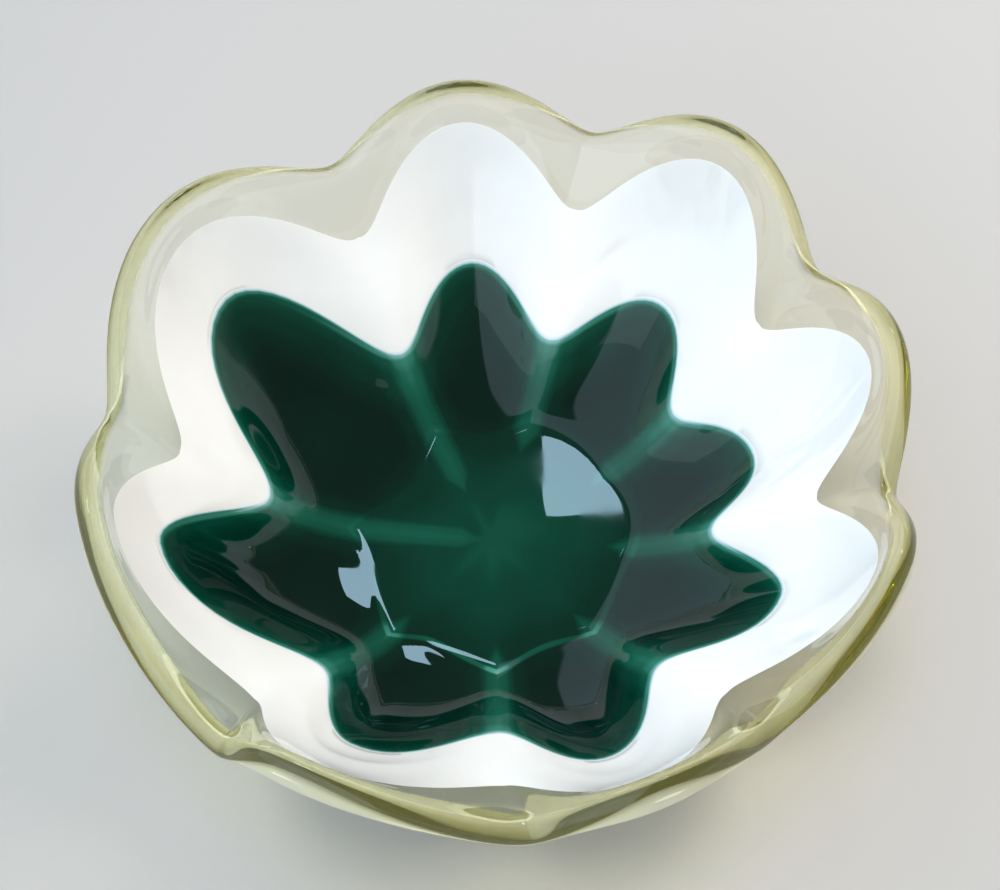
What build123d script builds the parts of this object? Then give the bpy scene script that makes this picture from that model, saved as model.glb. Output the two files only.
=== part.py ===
"""Lobed bowl of cased glass: a green core in a white opal layer in a thick clear casing.

Millimetres, +Z up. The origin is the centre of the ground foot, on the surface the bowl stands on.
The three glasses are fused together, so each is a closed solid and they meet face to face.
"""

from build123d import *
import os
from math import cos, floor, hypot, pi, radians, sin

os.makedirs("parts", exist_ok=True)

# The bowl was squeezed by hand into eight lobes, so their spacing is uneven.
# Angles are in degrees, anticlockwise from +X, and RIDGES[i] stands just before LOBES[i].
LOBES = [139, 91, 50, 10, -24, -70, -120, -170]
RIDGES = [171, 112.5, 71, 29, -7, -48.5, -91, -137.5]

# How much further out than the average each lobe and each ridge is drawn.
LOBE_PULL = [1.5, 0.0, 4.5, 0.5, 1.5, -2.0, -5.0, -5.0]
RIDGE_PULL = [-2.5, -1.0, 3.0, 1.5, 1.0, 0.5, 0.5, 0.0]
# The pull is whole above this height and dies away towards the foot.
FULL_PULL_HEIGHT = 40.0
# How far each ridge turns aside, in degrees, where it runs out to the rim.
RIDGE_LEAN = [-2.0, 0.0, 0.0, 0.0, -2.5, -3.0, 3.5, 5.5]

# The wall's section, from the foot up the outside, over the rim and down the inside to the floor.
# One row for each ring round the bowl: the reach and height of a lobe, the reach and height of a
# ridge, how softly the ridge is rounded, and the share of the ridge's lean.
SECTION = [
    (46.0, 0.0, 42.0, 0.0, 0.4, 0.0),
    (53.0, 4.5, 46.5, 2.8, 0.5, 0.0),
    (66.0, 14.5, 54.5, 9.0, 0.5, 0.0),
    (82.0, 31.5, 65.0, 20.5, 0.4, 0.1),
    (92.0, 48.5, 76.5, 34.0, 0.3, 0.4),
    (99.5, 64.0, 90.0, 49.0, 0.2, 0.8),
    (100.0, 72.0, 95.0, 56.5, 0.2, 1.0),
    (97.0, 75.0, 91.5, 60.0, 0.2, 1.0),
    (94.0, 71.5, 86.5, 56.0, 0.2, 0.8),
    (92.5, 65.0, 77.0, 46.0, 0.2, 0.2),
    (86.5, 52.5, 67.0, 36.5, 0.4, 0.0),
    (77.0, 39.0, 57.5, 27.5, 1.2, 0.0),
    (61.5, 23.0, 48.0, 19.0, 0.9, 0.0),
    (44.0, 14.5, 38.0, 14.0, 0.6, 0.0),
    (20.0, 12.5, 20.0, 12.5, 0.6, 0.0),
]
FLOOR_ROW = len(SECTION) - 1

# Where the colours end on the inside wall, in rows counted up from the floor.
OPAL_EDGE = 5.0
GREEN_EDGE_AT_RIDGES = [3.05, 2.75, 2.65, 2.75, 2.75, 3.05, 3.1, 3.05]
GREEN_EDGE_AT_LOBES = [3.6, 2.65, 2.6, 2.4, 2.8, 2.8, 2.8, 3.8]

# How deep each colour reaches below the inside wall, and how that thins towards the edge:
# pairs of the share of the way up and the share of the full depth.
GREEN_DEPTH = 1.8
OPAL_DEPTH = 3.2
GREEN_TAPER = [(0.25, 1.0), (0.5, 1.0), (0.75, 0.9), (0.9, 0.75), (0.98, 0.55)]
OPAL_TAPER = [(0.2, 1.0), (0.4, 0.95), (0.6, 0.75), (0.8, 0.5), (0.92, 0.38), (0.985, 0.3)]

# Spacing of the rings in each stretch of wall, and of the stations between a ridge and a lobe.
FLOOR_TO_GREEN_EDGE = [0.15, 0.3, 0.45, 0.6, 0.75, 0.9]
GREEN_TO_OPAL_EDGE = [0.25, 0.5, 0.75]
RINGS_PER_ROW = 3
STATIONS_PER_SLOPE = 4
NUDGE = 1.0e-3


def make_stations():
    """Angular stations round the bowl: lobe, ridge, share of the way from ridge to lobe, angle."""
    places = []
    for lobe, crown in enumerate(LOBES):
        for side in (0, 1):
            ridge = (lobe + side) % len(RIDGES)
            swing = (RIDGES[ridge] - crown + 180) % 360 - 180
            for step in range(STATIONS_PER_SLOPE):
                share = step / STATIONS_PER_SLOPE
                if side:
                    share = 1 - share
                places.append((lobe, ridge, share, crown + swing * (1 - share)))
    return places


STATIONS = make_stations()


def row_at(place):
    """Row at any place along the section, on a smooth curve through the rows."""
    below = int(min(max(floor(place), 0), FLOOR_ROW - 1))
    t = place - below
    here, after = SECTION[below], SECTION[below + 1]
    first = SECTION[below - 1] if below > 0 else [2 * q - r for q, r in zip(here, after)]
    last = SECTION[below + 2] if below + 2 <= FLOOR_ROW else [2 * r - q for q, r in zip(here, after)]
    row = []
    for p, q, r, s in zip(first, here, after, last):
        row.append(q + t / 2 * (r - p + t * (2 * p - 5 * q + 4 * r - s + t * (3 * q - 3 * r + s - p))))
    return row


def ring_point(row, station):
    """Point of one ring at one station: broad and round at a lobe, turned tightly at a ridge."""
    lobe_reach, lobe_height, ridge_reach, ridge_height, softness, lean = row
    lobe, ridge, share, angle = station
    pull = min(1.0, ((lobe_height + ridge_height) / 2 / FULL_PULL_HEIGHT) ** 2)
    rise = sin(pi / 2 * share)
    blend = (hypot(rise, softness) - softness) / (hypot(1, softness) - softness)
    inner = ridge_reach + RIDGE_PULL[ridge] * pull
    outer = lobe_reach + LOBE_PULL[lobe] * pull
    reach = inner + (outer - inner) * blend
    height = ridge_height + (lobe_height - ridge_height) * blend
    turn = radians(angle + RIDGE_LEAN[ridge] * lean * (1 - share))
    return Vector(reach * cos(turn), reach * sin(turn), height)


def closed_curve(points):
    """Closed smooth curve through one point for each station."""
    angles = [0.0]
    for index in range(len(STATIONS)):
        step = STATIONS[index][3] - STATIONS[(index + 1) % len(STATIONS)][3]
        angles.append(angles[-1] + step % 360)
    return Wire([Edge.make_spline(points, periodic=True, parameters=angles)])


def ring(row):
    return closed_curve([ring_point(row, station) for station in STATIONS])


def green_edge_level(station):
    """Rows from the floor up to the green's edge, at a station."""
    lobe, ridge, share, angle = station
    low, high = GREEN_EDGE_AT_RIDGES[ridge], GREEN_EDGE_AT_LOBES[lobe]
    return low + (high - low) * sin(pi / 2 * share) ** 2


def wall_ring(levels, depth=0.0):
    """Ring at a depth in the glass below the inside wall, with a level for each station."""
    points = []
    for index, (station, level) in enumerate(zip(STATIONS, levels)):
        row = row_at(FLOOR_ROW - level)
        point = ring_point(row, station)
        if depth:
            after = ring_point(row, STATIONS[(index + 1) % len(STATIONS)])
            around = ring_point(row, STATIONS[index - 1]) - after
            up = ring_point(row_at(FLOOR_ROW - level - NUDGE), station) - point
            point = point + around.cross(up).normalized() * depth
        points.append(point)
    return closed_curve(points)


def floor_ring(depth=0.0):
    """Flat ring in the floor of the bowl, at a depth below it."""
    reach, height, ridge_reach, ridge_height, softness, lean = SECTION[FLOOR_ROW]
    return ring((reach, height - depth, ridge_reach, ridge_height - depth, softness, lean))


def underside(edge, depth, taper):
    """Rings of the face below a colour, from the floor up to the last one under its edge."""
    rings = [floor_ring(depth)]
    for share_up, share_deep in taper:
        rings.append(wall_ring([level * share_up for level in edge], depth * share_deep))
    return rings


opal_edge = [OPAL_EDGE for station in STATIONS]
green_edge = [green_edge_level(station) for station in STATIONS]

under_opal = underside(opal_edge, OPAL_DEPTH, OPAL_TAPER)
under_green = underside(green_edge, GREEN_DEPTH, GREEN_TAPER)
opal_edge_ring = wall_ring(opal_edge)
green_edge_ring = wall_ring(green_edge)

opal_wall = []
for share in GREEN_TO_OPAL_EDGE:
    opal_wall.append(wall_ring([low + (high - low) * share for low, high in zip(green_edge, opal_edge)]))

green_wall = [floor_ring()]
for share in FLOOR_TO_GREEN_EDGE:
    green_wall.append(wall_ring([level * share for level in green_edge]))

# Clear casing: the ground foot, the outside, the rim and the clear band inside the rim.
with BuildPart() as clear_casing:
    foot_to_opal_edge = round((FLOOR_ROW - OPAL_EDGE) * RINGS_PER_ROW)
    outer_rings = [ring(row_at(step / RINGS_PER_ROW)) for step in range(foot_to_opal_edge)]
    add(Solid.make_loft(outer_rings + [opal_edge_ring] + under_opal[::-1], ruled=True))

# Opal layer: a thin white shell in the casing, with a scalloped edge.
with BuildPart() as opal_layer:
    opal_inner = [opal_edge_ring] + opal_wall[::-1] + [green_edge_ring] + under_green[::-1]
    add(Solid.make_loft(under_opal + opal_inner, ruled=True))

# Green core: the innermost shell, which forms the floor of the bowl and the hollows of the lobes.
with BuildPart() as green_core:
    add(Solid.make_loft(under_green + [green_edge_ring] + green_wall[::-1], ruled=True))

for name, piece in (("clear_casing", clear_casing), ("opal_layer", opal_layer), ("green_core", green_core)):
    piece.part.label = name
    export_step(piece.part, f"parts/{name}.step")
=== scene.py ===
from math import atan2, cos, floor, hypot, pi, radians, sin, tau

import bpy
from mathutils import Matrix, Vector


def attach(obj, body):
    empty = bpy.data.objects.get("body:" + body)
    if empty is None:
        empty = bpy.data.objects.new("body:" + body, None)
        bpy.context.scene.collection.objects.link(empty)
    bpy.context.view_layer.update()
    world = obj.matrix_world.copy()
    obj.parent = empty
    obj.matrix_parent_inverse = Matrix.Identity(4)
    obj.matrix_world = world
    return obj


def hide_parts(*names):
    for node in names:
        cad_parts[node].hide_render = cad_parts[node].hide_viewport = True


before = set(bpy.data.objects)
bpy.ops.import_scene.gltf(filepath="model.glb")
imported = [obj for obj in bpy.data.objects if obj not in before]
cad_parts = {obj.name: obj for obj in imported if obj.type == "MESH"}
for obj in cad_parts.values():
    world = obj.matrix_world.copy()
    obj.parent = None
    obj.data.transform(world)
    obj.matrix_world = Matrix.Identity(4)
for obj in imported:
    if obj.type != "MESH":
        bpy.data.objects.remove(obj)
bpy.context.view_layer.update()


# ---------------------------------------------------------------- clear casing
# The outermost gather: thick, clear, faintly yellow-green glass that makes the outside, the wavy
# fire-polished rim and the heavy base. It is blown round, then squeezed by hand into eight uneven
# lobes, and its foot is ground flat.

MM = 0.001

# The middle of each lobe and of the ridge before it, in degrees round the bowl, how far the hand
# pulled each out or in, in millimetres, and how many degrees each ridge leans at the rim. The pull
# grows with height and is whole from the last value up.
LOBES = [139, 91, 50, 10, -24, -70, -120, -170]
RIDGES = [171, 112.5, 71, 29, -7, -48.5, -91, -137.5]
LOBE_PULL = [1.5, 0.0, 4.5, 0.5, 1.5, -2.0, -5.0, -5.0]
RIDGE_PULL = [-2.5, -1.0, 3.0, 1.5, 1.0, 0.5, 0.5, 0.0]
RIDGE_LEAN = [-2.0, 0.0, 0.0, 0.0, -2.5, -3.0, 3.5, 5.5]
FULL_PULL_HEIGHT = 40.0

# Rows from the foot up the outside, over the rim and down to the middle of the floor: reach and
# height of a lobe, reach and height of a ridge, softness of the ridge, share of its lean.
SECTION = [
    (46.0, 0.0, 42.0, 0.0, 0.4, 0.0),
    (53.0, 4.5, 46.5, 2.8, 0.5, 0.0),
    (66.0, 14.5, 54.5, 9.0, 0.5, 0.0),
    (82.0, 31.5, 65.0, 20.5, 0.4, 0.1),
    (92.0, 48.5, 76.5, 34.0, 0.3, 0.4),
    (99.5, 64.0, 90.0, 49.0, 0.2, 0.8),
    (100.0, 72.0, 95.0, 56.5, 0.2, 1.0),
    (97.0, 75.0, 91.5, 60.0, 0.2, 1.0),
    (94.0, 71.5, 86.5, 56.0, 0.2, 0.8),
    (92.5, 65.0, 77.0, 46.0, 0.2, 0.2),
    (86.5, 52.5, 67.0, 36.5, 0.4, 0.0),
    (77.0, 39.0, 57.5, 27.5, 1.2, 0.0),
    (61.5, 23.0, 48.0, 19.0, 0.9, 0.0),
    (44.0, 14.5, 38.0, 14.0, 0.6, 0.0),
    (20.0, 12.5, 20.0, 12.5, 0.6, 0.0),
    (2.0, 12.2, 2.0, 12.2, 0.6, 0.0),
]
FLOOR_ROW = len(SECTION) - 2
SLOPE_STEPS = 18
RIDGE_CROWDING = 1.35
RINGS_PER_ROW = 8
NUDGE = 0.001
SMOOTH_BELOW = radians(35)

# The white lies in a hollow of the casing. Its edge is a level, in rows above the floor, and its
# taper gives shares of that level and of the full depth. The hollow is a little shallower than
# the white is thick, so no air shows between them.
OPAL_EDGE = 5.0
OPAL_EDGE_ROUNDING = [0.08, 0.13, 0.09, 0.10, 0.06, 0.08, 0.06, 0.08]
ROUNDING_SPREAD = 0.28
OPAL_DEPTH = 3.2
OPAL_TAPER = [
    (0.985, 0.3), (0.96, 0.34), (0.92, 0.38), (0.8, 0.5), (0.6, 0.75), (0.4, 0.95), (0.2, 1.0),
]
GLASS_OVERLAP = 0.82


def make_stations():
    """Places round the bowl: lobe, nearest ridge, share of the way from ridge to lobe, angle."""
    places = []
    for lobe, crown in enumerate(LOBES):
        for side in (0, 1):
            ridge = (lobe + side) % len(RIDGES)
            swing = (RIDGES[ridge] - crown + 180) % 360 - 180
            for step in range(SLOPE_STEPS):
                share = ((SLOPE_STEPS - step if side else step) / SLOPE_STEPS) ** RIDGE_CROWDING
                places.append((lobe, ridge, share, crown + swing * (1 - share)))
    return places


STATIONS = make_stations()


def row_at(place):
    """Row at any place along the section, on a smooth curve through the rows."""
    below = int(min(max(floor(place), 0), len(SECTION) - 2))
    t = place - below
    here, after = SECTION[below], SECTION[below + 1]
    first = [2 * q - r for q, r in zip(here, after)]
    if below > 0:
        first = SECTION[below - 1]
    last = [2 * r - q for q, r in zip(here, after)]
    if below + 2 < len(SECTION):
        last = SECTION[below + 2]
    row = []
    for p, q, r, s in zip(first, here, after, last):
        bend = 2 * p - 5 * q + 4 * r - s + t * (3 * q - 3 * r + s - p)
        row.append(q + t / 2 * (r - p + t * bend))
    return row


def squeezed(row, station):
    """Where the squeezed glass lies at one station of a row, in metres."""
    lobe_reach, lobe_height, ridge_reach, ridge_height, softness, lean = row
    lobe, ridge, share, angle = station
    pull = min(1.0, ((lobe_height + ridge_height) / 2 / FULL_PULL_HEIGHT) ** 2)
    rise = sin(pi / 2 * share)
    blend = (hypot(rise, softness) - softness) / (hypot(1, softness) - softness)
    inner = ridge_reach + RIDGE_PULL[ridge] * pull
    outer = lobe_reach + LOBE_PULL[lobe] * pull
    reach = (inner + (outer - inner) * blend) * MM
    height = (ridge_height + (lobe_height - ridge_height) * blend) * MM
    turn = radians(angle + RIDGE_LEAN[ridge] * lean * (1 - share))
    return Vector((reach * cos(turn), reach * sin(turn), height))


def wall_ring(levels, depth=0.0):
    """Ring at a depth in millimetres below the inside wall. Levels are rows above the floor."""
    points = []
    for index, (station, level) in enumerate(zip(STATIONS, levels)):
        row = row_at(FLOOR_ROW - level)
        point = squeezed(row, station)
        if depth:
            after = squeezed(row, STATIONS[(index + 1) % len(STATIONS)])
            around = squeezed(row, STATIONS[index - 1]) - after
            up = squeezed(row_at(FLOOR_ROW - level - NUDGE), station) - point
            point = point + around.cross(up).normalized() * depth * MM
        points.append(point)
    return points


def floor_rings(depth=0.0):
    """Flat rings in the floor of the bowl, from its edge to its middle, at a depth below it."""
    rings = []
    for step in range(RINGS_PER_ROW):
        ring = [squeezed(row_at(FLOOR_ROW + step / RINGS_PER_ROW), station) for station in STATIONS]
        rings.append([point - Vector((0, 0, depth * MM)) for point in ring])
    return rings


def underside(edge, depth, taper):
    """Rings below a colour, from just under its edge down to the floor."""
    rings = [wall_ring([level * up for level in edge], depth * deep) for up, deep in taper]
    return rings + floor_rings(depth)


def draw_up(name, rings):
    """Draws a tube of glass up from a disc, closes its end, and squeezes each ring into place."""
    bpy.ops.object.select_all(action="DESELECT")
    bpy.ops.mesh.primitive_circle_add(vertices=len(STATIONS), radius=1, fill_type="TRIFAN")
    piece = bpy.context.object
    piece.name = name
    piece.data.name = name
    bpy.ops.object.mode_set(mode="EDIT")
    bpy.ops.mesh.select_all(action="DESELECT")
    bpy.ops.mesh.select_non_manifold()
    # One step up for each ring after the first, and one more to be gathered into the closing point.
    for step in range(len(rings)):
        bpy.ops.mesh.extrude_edges_move(TRANSFORM_OT_translate={"value": (0, 0, 1)})
    bpy.ops.mesh.merge(type="CENTER")
    bpy.ops.object.mode_set(mode="OBJECT")
    # The tube is one metre in radius, so only the two closing points lie near its axis.
    for vertex in piece.data.vertices:
        layer = round(vertex.co.z)
        if vertex.co.xy.length > 0.5:
            station = round(-atan2(vertex.co.y, vertex.co.x) / tau * len(STATIONS))
            vertex.co = rings[layer][station % len(STATIONS)]
        else:
            ring = rings[min(layer, len(rings) - 1)]
            vertex.co = sum(ring, Vector()) / len(ring)
    bpy.ops.object.mode_set(mode="EDIT")
    bpy.ops.mesh.select_all(action="SELECT")
    bpy.ops.mesh.normals_make_consistent(inside=False)
    bpy.ops.object.mode_set(mode="OBJECT")
    bpy.ops.object.shade_smooth_by_angle(angle=SMOOTH_BELOW)
    return piece


def surface_group():
    """Node group for hand-worked glass: slow ripples in the surface and faint handling smudges."""
    group = bpy.data.node_groups.new("hand_worked_surface", "ShaderNodeTree")
    for name in ("Ripple scale", "Smudge scale", "Clean roughness", "Smudged roughness"):
        group.interface.new_socket(name, in_out="INPUT", socket_type="NodeSocketFloat")
    for name in ("Ripple", "Roughness"):
        group.interface.new_socket(name, in_out="OUTPUT", socket_type="NodeSocketFloat")
    nodes, links = group.nodes, group.links
    inputs = nodes.new("NodeGroupInput")
    outputs = nodes.new("NodeGroupOutput")
    place = nodes.new("ShaderNodeTexCoord")
    ripple = nodes.new("ShaderNodeTexNoise")
    ripple.inputs["Detail"].default_value = 1.5
    smudge = nodes.new("ShaderNodeTexNoise")
    smudge.inputs["Detail"].default_value = 5.0
    spread = nodes.new("ShaderNodeMapRange")
    spread.inputs["From Min"].default_value = 0.45
    spread.inputs["From Max"].default_value = 0.75
    links.new(place.outputs["Object"], ripple.inputs["Vector"])
    links.new(place.outputs["Object"], smudge.inputs["Vector"])
    links.new(inputs.outputs["Ripple scale"], ripple.inputs["Scale"])
    links.new(inputs.outputs["Smudge scale"], smudge.inputs["Scale"])
    links.new(smudge.outputs["Fac"], spread.inputs["Value"])
    links.new(inputs.outputs["Clean roughness"], spread.inputs["To Min"])
    links.new(inputs.outputs["Smudged roughness"], spread.inputs["To Max"])
    links.new(ripple.outputs["Fac"], outputs.inputs["Ripple"])
    links.new(spread.outputs["Result"], outputs.inputs["Roughness"])
    return group


hand_worked = surface_group()


def glass_material(name, ripple_scale, clean, smudged, ripple_height):
    """A material with the hand-worked surface on it. Returns its nodes, links and main shader."""
    material = bpy.data.materials.new(name)
    material.use_nodes = True
    nodes, links = material.node_tree.nodes, material.node_tree.links
    shader = nodes["Principled BSDF"]
    surface = nodes.new("ShaderNodeGroup")
    surface.node_tree = hand_worked
    surface.name = "surface"
    surface.inputs["Ripple scale"].default_value = ripple_scale
    surface.inputs["Smudge scale"].default_value = ripple_scale * 3
    surface.inputs["Clean roughness"].default_value = clean
    surface.inputs["Smudged roughness"].default_value = smudged
    bump = nodes.new("ShaderNodeBump")
    bump.inputs["Distance"].default_value = ripple_height
    links.new(surface.outputs["Ripple"], bump.inputs["Height"])
    links.new(bump.outputs["Normal"], shader.inputs["Normal"])
    links.new(surface.outputs["Roughness"], shader.inputs["Roughness"])
    shader.inputs["IOR"].default_value = 1.5
    return material, nodes, links, shader


clear_glass, nodes, links, shader = glass_material(
    "clear_glass", ripple_scale=38.0, clean=0.0, smudged=0.02, ripple_height=0.12 * MM
)
shader.inputs["Base Color"].default_value = (0.997, 1.0, 0.992, 1.0)
shader.inputs["Transmission Weight"].default_value = 1.0
absorb = nodes.new("ShaderNodeVolumeAbsorption")
absorb.inputs["Color"].default_value = (0.96, 0.92, 0.25, 1.0)
absorb.inputs["Density"].default_value = 18.0
links.new(absorb.outputs["Volume"], nodes["Material Output"].inputs["Volume"])
# Lamp light passes straight through the glass, so what lies behind and under it is lit.
path = nodes.new("ShaderNodeLightPath")
clear = nodes.new("ShaderNodeBsdfTransparent")
clear.inputs["Color"].default_value = (0.90, 0.92, 0.84, 1.0)
through = nodes.new("ShaderNodeMixShader")
links.new(path.outputs["Is Shadow Ray"], through.inputs["Fac"])
links.new(shader.outputs["BSDF"], through.inputs[1])
links.new(clear.outputs["BSDF"], through.inputs[2])
links.new(through.outputs["Shader"], nodes["Material Output"].inputs["Surface"])
# The foot's ground face is frosted up to where the wall leaves it.
place = nodes.new("ShaderNodeTexCoord")
height = nodes.new("ShaderNodeSeparateXYZ")
ground = nodes.new("ShaderNodeMapRange")
ground.inputs["From Min"].default_value = 0.2 * MM
ground.inputs["From Max"].default_value = 0.6 * MM
ground.inputs["To Min"].default_value = 0.45
ground.inputs["To Max"].default_value = 0.0
rougher = nodes.new("ShaderNodeMath")
rougher.operation = "MAXIMUM"
links.new(place.outputs["Object"], height.inputs["Vector"])
links.new(height.outputs["Z"], ground.inputs["Value"])
links.new(ground.outputs["Result"], rougher.inputs[0])
links.new(nodes["surface"].outputs["Roughness"], rougher.inputs[1])
links.new(rougher.outputs["Value"], shader.inputs["Roughness"])

# The white edge is rounded where it dips over each ridge.
opal_edge = []
for lobe, ridge, share, angle in STATIONS:
    dip = max(0.0, 1 - share / ROUNDING_SPREAD) ** 2
    opal_edge.append(OPAL_EDGE + OPAL_EDGE_ROUNDING[ridge] * dip)

outside_rings = []
for step in range(round((FLOOR_ROW - OPAL_EDGE) * RINGS_PER_ROW)):
    outside_rings.append([squeezed(row_at(step / RINGS_PER_ROW), station) for station in STATIONS])
under_opal = underside(opal_edge, OPAL_DEPTH * GLASS_OVERLAP, OPAL_TAPER)

casing = draw_up("clear_casing_glass", outside_rings + [wall_ring(opal_edge)] + under_opal)
casing.data.materials.append(clear_glass)
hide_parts("clear_casing")
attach(casing, "root")


# ---------------------------------------------------------------- opal layer
# A thin gather of opaque white opal glass inside the casing, drawn up with it, so its edge follows
# the lobes in a crisp scallop a little below the rim. It backs the green all over.

# The green's edge, as a level in rows above the floor, and its depth and taper under the surface.
GREEN_EDGE_AT_RIDGES = [3.05, 2.75, 2.65, 2.75, 2.75, 3.05, 3.1, 3.05]
GREEN_EDGE_AT_LOBES = [3.6, 2.65, 2.6, 2.4, 2.8, 2.8, 2.8, 3.8]
GREEN_DEPTH = 1.8
GREEN_TAPER = [(0.995, 0.1), (0.98, 0.3), (0.94, 0.6), (0.85, 0.8), (0.6, 1.0), (0.3, 1.0)]
OPAL_RINGS = 20

opal_glass, nodes, links, shader = glass_material(
    "opal_glass", ripple_scale=30.0, clean=0.03, smudged=0.09, ripple_height=0.1 * MM
)
place = nodes.new("ShaderNodeTexCoord")
clouds = nodes.new("ShaderNodeTexNoise")
clouds.inputs["Scale"].default_value = 26.0
clouds.inputs["Detail"].default_value = 3.0
milk = nodes.new("ShaderNodeValToRGB")
milk.color_ramp.elements[0].position = 0.3
milk.color_ramp.elements[0].color = (0.83, 0.82, 0.79, 1.0)
milk.color_ramp.elements[1].position = 0.7
milk.color_ramp.elements[1].color = (0.90, 0.89, 0.87, 1.0)
links.new(place.outputs["Object"], clouds.inputs["Vector"])
links.new(clouds.outputs["Fac"], milk.inputs["Fac"])
links.new(milk.outputs["Color"], shader.inputs["Base Color"])
shader.inputs["Subsurface Weight"].default_value = 0.15
shader.inputs["Subsurface Radius"].default_value = (1.0, 0.95, 0.9)
shader.inputs["Subsurface Scale"].default_value = 2 * MM

green_edge = []
for lobe, ridge, share, angle in STATIONS:
    low, high = GREEN_EDGE_AT_RIDGES[ridge], GREEN_EDGE_AT_LOBES[lobe]
    green_edge.append(low + (high - low) * sin(pi / 2 * share) ** 2)

# From the middle of its underside out to the white edge, down to the green, and back under it.
opal_rings = underside(opal_edge, OPAL_DEPTH, OPAL_TAPER)[::-1]
for step in range(OPAL_RINGS + 1):
    share = step / OPAL_RINGS
    levels = [high + (low - high) * share for low, high in zip(green_edge, opal_edge)]
    opal_rings.append(wall_ring(levels))
opal_rings += underside(green_edge, GREEN_DEPTH, GREEN_TAPER)

opal = draw_up("opal_layer_glass", opal_rings)
opal.data.materials.append(opal_glass)
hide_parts("opal_layer")
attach(opal, "root")


# ---------------------------------------------------------------- green core
# The innermost glass: transparent emerald over the white. It is deepest in the hollows of the
# lobes, thinner over the ridges, and thins to nothing at its edge, so the edge is soft and
# blue-green. A painted highlight runs along the fold where the hollows meet the floor, strongest on
# the near lobes.

GREEN_RINGS = 90
EDGE_CROWDING = 1.25
NEIGHBOURS = 14

# The fold that runs round the floor: its distance from the middle, the strength of the painted
# highlight along it in each lobe, half the width of its roll, and where the thin line over each
# ridge ends.
FOLD_AT_LOBES = [27.0, 30.5, 37.0, 38.0, 34.0, 32.5, 31.5, 31.0]
FOLD_AT_RIDGES = 36.5
FOLD_HIGHLIGHT_AT_LOBES = [0.0, 0.15, 0.1, 0.1, 0.35, 0.9, 1.0, 0.35]
FOLD_ROLL = 3.0
FLAT_FLOOR_HEIGHT = 12.7
RIDGE_ENDS = [8.0, 21.0, 33.0, 36.0, 36.0, 36.0, 36.0, 36.0]

# The colour over white as the green gets thicker, from none to the deepest.
WHITE_TO_GREEN = [
    (0.00, (0.86, 0.86, 0.84, 1.0)),
    (0.08, (0.66, 0.75, 0.78, 1.0)),
    (0.20, (0.26, 0.47, 0.48, 1.0)),
    (0.34, (0.050, 0.235, 0.175, 1.0)),
    (0.52, (0.006, 0.088, 0.054, 1.0)),
    (0.70, (0.0007, 0.038, 0.022, 1.0)),
    (0.85, (0.0003, 0.018, 0.0105, 1.0)),
    (1.00, (0.0002, 0.0095, 0.0060, 1.0)),
]

green_glass, nodes, links, shader = glass_material(
    "green_glass", ripple_scale=24.0, clean=0.01, smudged=0.05, ripple_height=0.12 * MM
)
shader.inputs["IOR"].default_value = 1.43


def fill_ramp(ramp, stops):
    """Sets a colour ramp to a list of stops, each a position and a colour."""
    elements = ramp.color_ramp.elements
    for count, (position, colour) in enumerate(stops):
        if count == 0:
            stop = elements[0]
        elif count == len(stops) - 1:
            stop = elements[-1]
        else:
            stop = elements.new(position)
        stop.position = position
        stop.color = colour


def profile(attribute, steps):
    """Green thickness from a distance that the mesh carries, as (millimetres, thickness) steps."""
    distance = nodes.new("ShaderNodeAttribute")
    distance.attribute_name = attribute
    start, end = steps[0][0], steps[-1][0]
    span = nodes.new("ShaderNodeMapRange")
    span.inputs["From Min"].default_value = start
    span.inputs["From Max"].default_value = end
    ramp = nodes.new("ShaderNodeValToRGB")
    ramp.color_ramp.interpolation = "EASE"
    stops = []
    for reach, thickness in steps:
        position = (reach - start) / (end - start)
        stops.append((position, (thickness, thickness, thickness, 1.0)))
    fill_ramp(ramp, stops)
    links.new(distance.outputs["Fac"], span.inputs["Value"])
    links.new(span.outputs["Result"], ramp.inputs["Fac"])
    return ramp.outputs["Color"]


def combine(operation, first, second):
    """One sum, product or the like of two values."""
    node = nodes.new("ShaderNodeMath")
    node.operation = operation
    links.new(first, node.inputs[0])
    links.new(second, node.inputs[1])
    return node.outputs["Value"]


near_edge = profile(
    "from_edge", [(0.0, 0.0), (0.7, 0.12), (1.6, 0.42), (3.0, 0.68), (7.0, 0.80), (18.0, 1.0)]
)
over_ridge = profile("from_ridge", [(0.0, 0.60), (1.8, 0.64), (5.0, 0.88), (9.0, 1.0)])
into_hollow = profile(
    "from_fold", [(-32.0, 0.66), (-18.0, 0.74), (-2.0, 0.84), (2.2, 0.95), (8.0, 1.0)]
)
# A painted highlight along the fold: the green is made thinner, and so lighter, in a thin line
# there, by each lobe's share.
highlight_line = profile("from_fold", [(-1.3, 0.0), (-0.5, 0.3), (0.3, 0.3), (1.1, 0.0)])
highlight_share = nodes.new("ShaderNodeAttribute")
highlight_share.attribute_name = "fold_highlight"
streaks = nodes.new("ShaderNodeTexNoise")
streaks.inputs["Scale"].default_value = 45.0
streaks.inputs["Detail"].default_value = 2.0
place = nodes.new("ShaderNodeTexCoord")
vary = nodes.new("ShaderNodeMapRange")
vary.inputs["To Min"].default_value = 0.9
vary.inputs["To Max"].default_value = 1.08
hue = nodes.new("ShaderNodeValToRGB")
fill_ramp(hue, WHITE_TO_GREEN)
links.new(place.outputs["Object"], streaks.inputs["Vector"])
links.new(streaks.outputs["Fac"], vary.inputs["Value"])
painted_highlight = combine("MULTIPLY", highlight_line, highlight_share.outputs["Fac"])
thickness = combine("SUBTRACT", combine("MINIMUM", over_ridge, into_hollow), painted_highlight)
thickness = combine("MULTIPLY", near_edge, thickness)
links.new(combine("MULTIPLY", thickness, vary.outputs["Result"]), hue.inputs["Fac"])
links.new(hue.outputs["Color"], shader.inputs["Base Color"])


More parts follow.
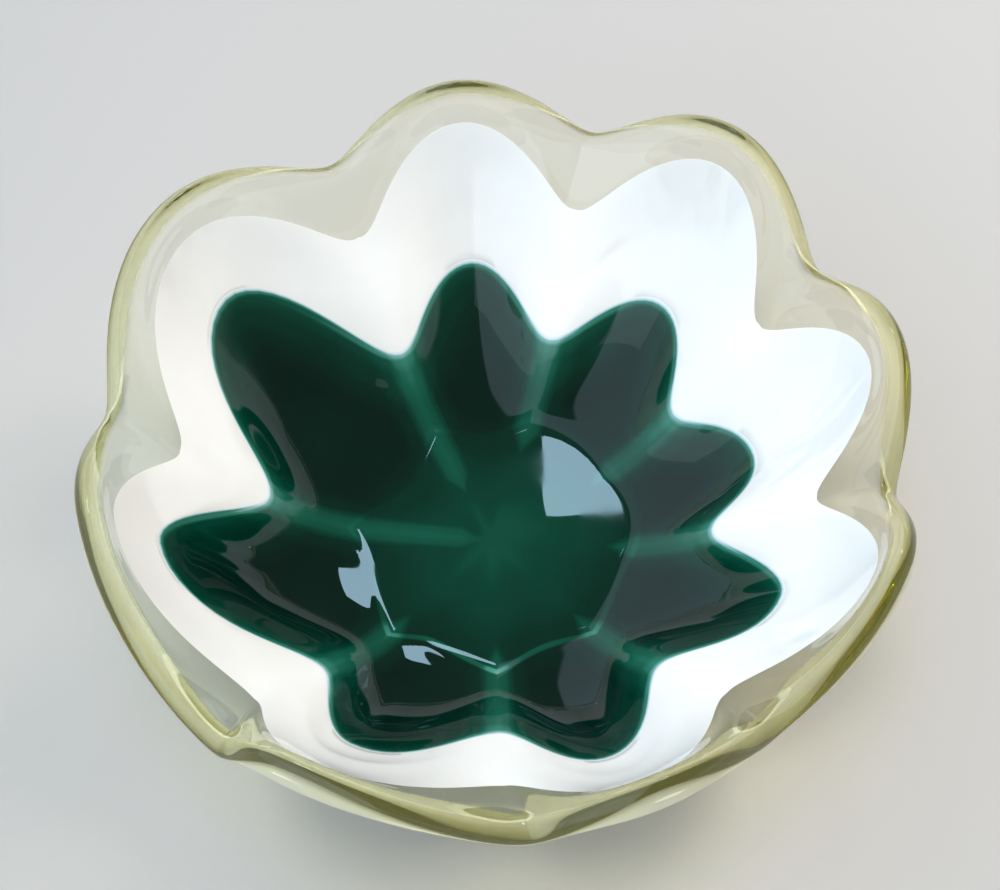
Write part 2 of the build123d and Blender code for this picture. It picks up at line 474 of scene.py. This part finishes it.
def fold_reach(station):
    """Distance of the fold from the middle of the bowl at a station, in millimetres."""
    lobe, ridge, share, angle = station
    return FOLD_AT_RIDGES + (FOLD_AT_LOBES[lobe] - FOLD_AT_RIDGES) * sin(pi / 2 * share)


green_rings = underside(green_edge, GREEN_DEPTH, GREEN_TAPER)[::-1]
under_count = len(green_rings)
for step in range(GREEN_RINGS):
    share = 1 - (step / GREEN_RINGS) ** EDGE_CROWDING
    green_rings.append(wall_ring([level * share for level in green_edge]))
green_rings += floor_rings()

# The floor of the bowl is flat inside the fold, where the marver pressed it.
for ring in green_rings[under_count:]:
    for point, station in zip(ring, STATIONS):
        beyond = point.xy.length / MM - fold_reach(station)
        rolled = min(max((beyond + FOLD_ROLL) / (2 * FOLD_ROLL), 0.0), 1.0)
        rolled = rolled * rolled * (3 - 2 * rolled)
        flat = FLAT_FLOOR_HEIGHT * MM
        point.z = flat + (point.z - flat) * rolled

green = draw_up("green_core_glass", green_rings)
green.data.materials.append(green_glass)


def turn_between(first, second):
    """The smaller angle between two directions round the bowl."""
    return abs((first - second + pi) % tau - pi)


# Each point of the green carries its distances, in millimetres, from the green's edge, from the
# nearest ridge and from the fold, and the strength of the painted highlight at the fold, for the
# profiles to read.
edge_points = wall_ring(green_edge)
turns = [atan2(point.y, point.x) for point in edge_points]
ridge_turns = {}
for turn, (lobe, ridge, share, angle) in zip(turns, STATIONS):
    if share == 0:
        ridge_turns[ridge] = turn
CARRIED = ("from_edge", "from_ridge", "from_fold", "fold_highlight")
carried = green.data.attributes
for name in CARRIED:
    carried.new(name, "FLOAT", "POINT")
from_edge, from_ridge, from_fold, fold_highlight = (carried[name].data for name in CARRIED)
for vertex in green.data.vertices:
    turn = atan2(vertex.co.y, vertex.co.x)
    reach = vertex.co.xy.length / MM
    nearest = min(range(len(turns)), key=lambda index: turn_between(turns[index], turn))
    lobe, ridge, share, angle = STATIONS[nearest]
    steps = range(-NEIGHBOURS, NEIGHBOURS + 1)
    around = [edge_points[(nearest + step) % len(STATIONS)] for step in steps]
    from_edge[vertex.index].value = min((point - vertex.co).length for point in around) / MM
    sideways = reach * sin(min(turn_between(turn, ridge_turns[ridge]), pi / 2))
    past_end = max(0.0, RIDGE_ENDS[ridge] - reach) / 2
    from_ridge[vertex.index].value = sideways + past_end
    from_fold[vertex.index].value = reach - fold_reach(STATIONS[nearest])
    beside = (FOLD_HIGHLIGHT_AT_LOBES[ridge] + FOLD_HIGHLIGHT_AT_LOBES[ridge - 1]) / 2
    fold_highlight[vertex.index].value = beside + (FOLD_HIGHLIGHT_AT_LOBES[lobe] - beside) * share

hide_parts("green_core")
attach(green, "root")


# ---------------------------------------------------------------- studio
# A plain pale floor, soft lamps and a tall bright screen on the left, with the camera high in front
# of the bowl. None of it belongs to the bowl.

bpy.ops.mesh.primitive_plane_add(size=12, location=(0, 0, 0))
studio_floor = bpy.context.object
studio_floor.name = "studio_floor"
floor_paint = bpy.data.materials.new("floor_paint")
floor_paint.use_nodes = True
shader = floor_paint.node_tree.nodes["Principled BSDF"]
shader.inputs["Base Color"].default_value = (0.50, 0.48, 0.46, 1.0)
shader.inputs["Roughness"].default_value = 0.6
studio_floor.data.materials.append(floor_paint)


def softbox(name, place, turn, width, height, power, colour, mirrored=True):
    """A soft lamp, in metres and watts, turned from facing down, and mirrored in gloss or not."""
    bpy.ops.object.light_add(type="AREA", location=place)
    lamp = bpy.context.object
    lamp.name = name
    lamp.data.shape = "RECTANGLE"
    lamp.data.size = width
    lamp.data.size_y = height
    lamp.data.energy = power
    lamp.data.color = colour
    lamp.rotation_euler = turn
    lamp.visible_camera = False
    lamp.visible_glossy = mirrored


def facing(place, aim):
    """The turn that makes a light at a place face a point, with its width level."""
    return (Vector(aim) - Vector(place)).to_track_quat("-Z", "Y").to_euler()


# The window shows as a pale patch in the gloss of the bowl's floor, and the one at the side lights
# the right-hand lobes.
WINDOW = (0.115, 0.59, 1.0)
WINDOW_TILT = radians(-20)
SIDE_WINDOW = (-0.54, -0.76, 0.53)
softbox("window", WINDOW, (WINDOW_TILT, 0.0, 0.0),
        width=0.14, height=0.14, power=0.86, colour=(0.52, 0.80, 1.0))
softbox("side_window", SIDE_WINDOW, facing(SIDE_WINDOW, (0.03, 0.05, 0.05)),
        width=1.1, height=0.86, power=1.9, colour=(0.82, 0.92, 1.0))

# Two diffused lamps even out the whites and leave no bright square in the gloss.
OVERHEAD = (-0.04, -0.10, 1.15)
WARM_FILL = (0.55, 0.35, 0.72)
softbox("overhead", OVERHEAD, (0.0, 0.0, 0.0),
        width=0.30, height=0.30, power=5.0, colour=(1.0, 0.97, 0.93), mirrored=False)
softbox("warm_fill", WARM_FILL, facing(WARM_FILL, (-0.04, -0.02, 0.04)),
        width=0.5, height=0.5, power=5.4, colour=(1.0, 0.93, 0.86), mirrored=False)

# The air is bright near the floor and dim overhead, and the screen stands all along the left.
world = bpy.data.worlds.new("studio_air")
bpy.context.scene.world = world
world.use_nodes = True
nodes, links = world.node_tree.nodes, world.node_tree.links
air = nodes.new("ShaderNodeTexCoord")
way = nodes.new("ShaderNodeSeparateXYZ")
tent = nodes.new("ShaderNodeValToRGB")
fill_ramp(tent, [
    (0.0, (0.90, 0.92, 0.92, 1.0)),
    (0.1, (0.55, 0.57, 0.58, 1.0)),
    (0.26, (0.16, 0.155, 0.145, 1.0)),
])
screen = nodes.new("ShaderNodeMapRange")
screen.interpolation_type = "SMOOTHSTEP"
screen.inputs["From Min"].default_value = -0.07
screen.inputs["From Max"].default_value = -0.10
both = nodes.new("ShaderNodeMix")
both.data_type = "RGBA"
both.inputs["B"].default_value = (0.96, 1.16, 1.38, 1.0)
links.new(air.outputs["Generated"], way.inputs["Vector"])
links.new(way.outputs["Z"], tent.inputs["Fac"])
links.new(way.outputs["X"], screen.inputs["Value"])
links.new(screen.outputs["Result"], both.inputs["Factor"])
links.new(tent.outputs["Color"], both.inputs["A"])
links.new(both.outputs["Result"], nodes["Background"].inputs["Color"])

# The camera stands in front, aims at a point on the bowl's axis, and is then swung a little.
CAMERA_DISTANCE = 0.5
CAMERA_AIM_HEIGHT = 72.5 * MM
CAMERA_ELEVATION = 60.42
CAMERA_PAN = 0.36
CAMERA_TILT = -0.57
CAMERA_ROLL = -3.3
CAMERA_LENS = 78.3

bpy.ops.object.camera_add()
camera = bpy.context.object
camera.data.lens = CAMERA_LENS
camera.data.sensor_width = 36.0
camera.data.clip_start = 0.01
rise = radians(CAMERA_ELEVATION)
stand = Vector((0, -CAMERA_DISTANCE * cos(rise), CAMERA_AIM_HEIGHT + CAMERA_DISTANCE * sin(rise)))
look = Matrix.Rotation(pi / 2 - rise, 4, "X")
pan = Matrix.Rotation(radians(-CAMERA_PAN), 4, "Y")
tilt = Matrix.Rotation(radians(CAMERA_TILT), 4, "X")
roll = Matrix.Rotation(radians(CAMERA_ROLL), 4, "Z")
camera.matrix_world = Matrix.Translation(stand) @ look @ pan @ tilt @ roll

# Clear glass needs many bounces, or light that enters it comes out grey.
scene = bpy.context.scene
scene.camera = camera
scene.view_settings.view_transform = "Standard"
scene.cycles.max_bounces = 24
scene.cycles.transmission_bounces = 16
scene.cycles.glossy_bounces = 8
scene.cycles.sample_clamp_indirect = 8.0
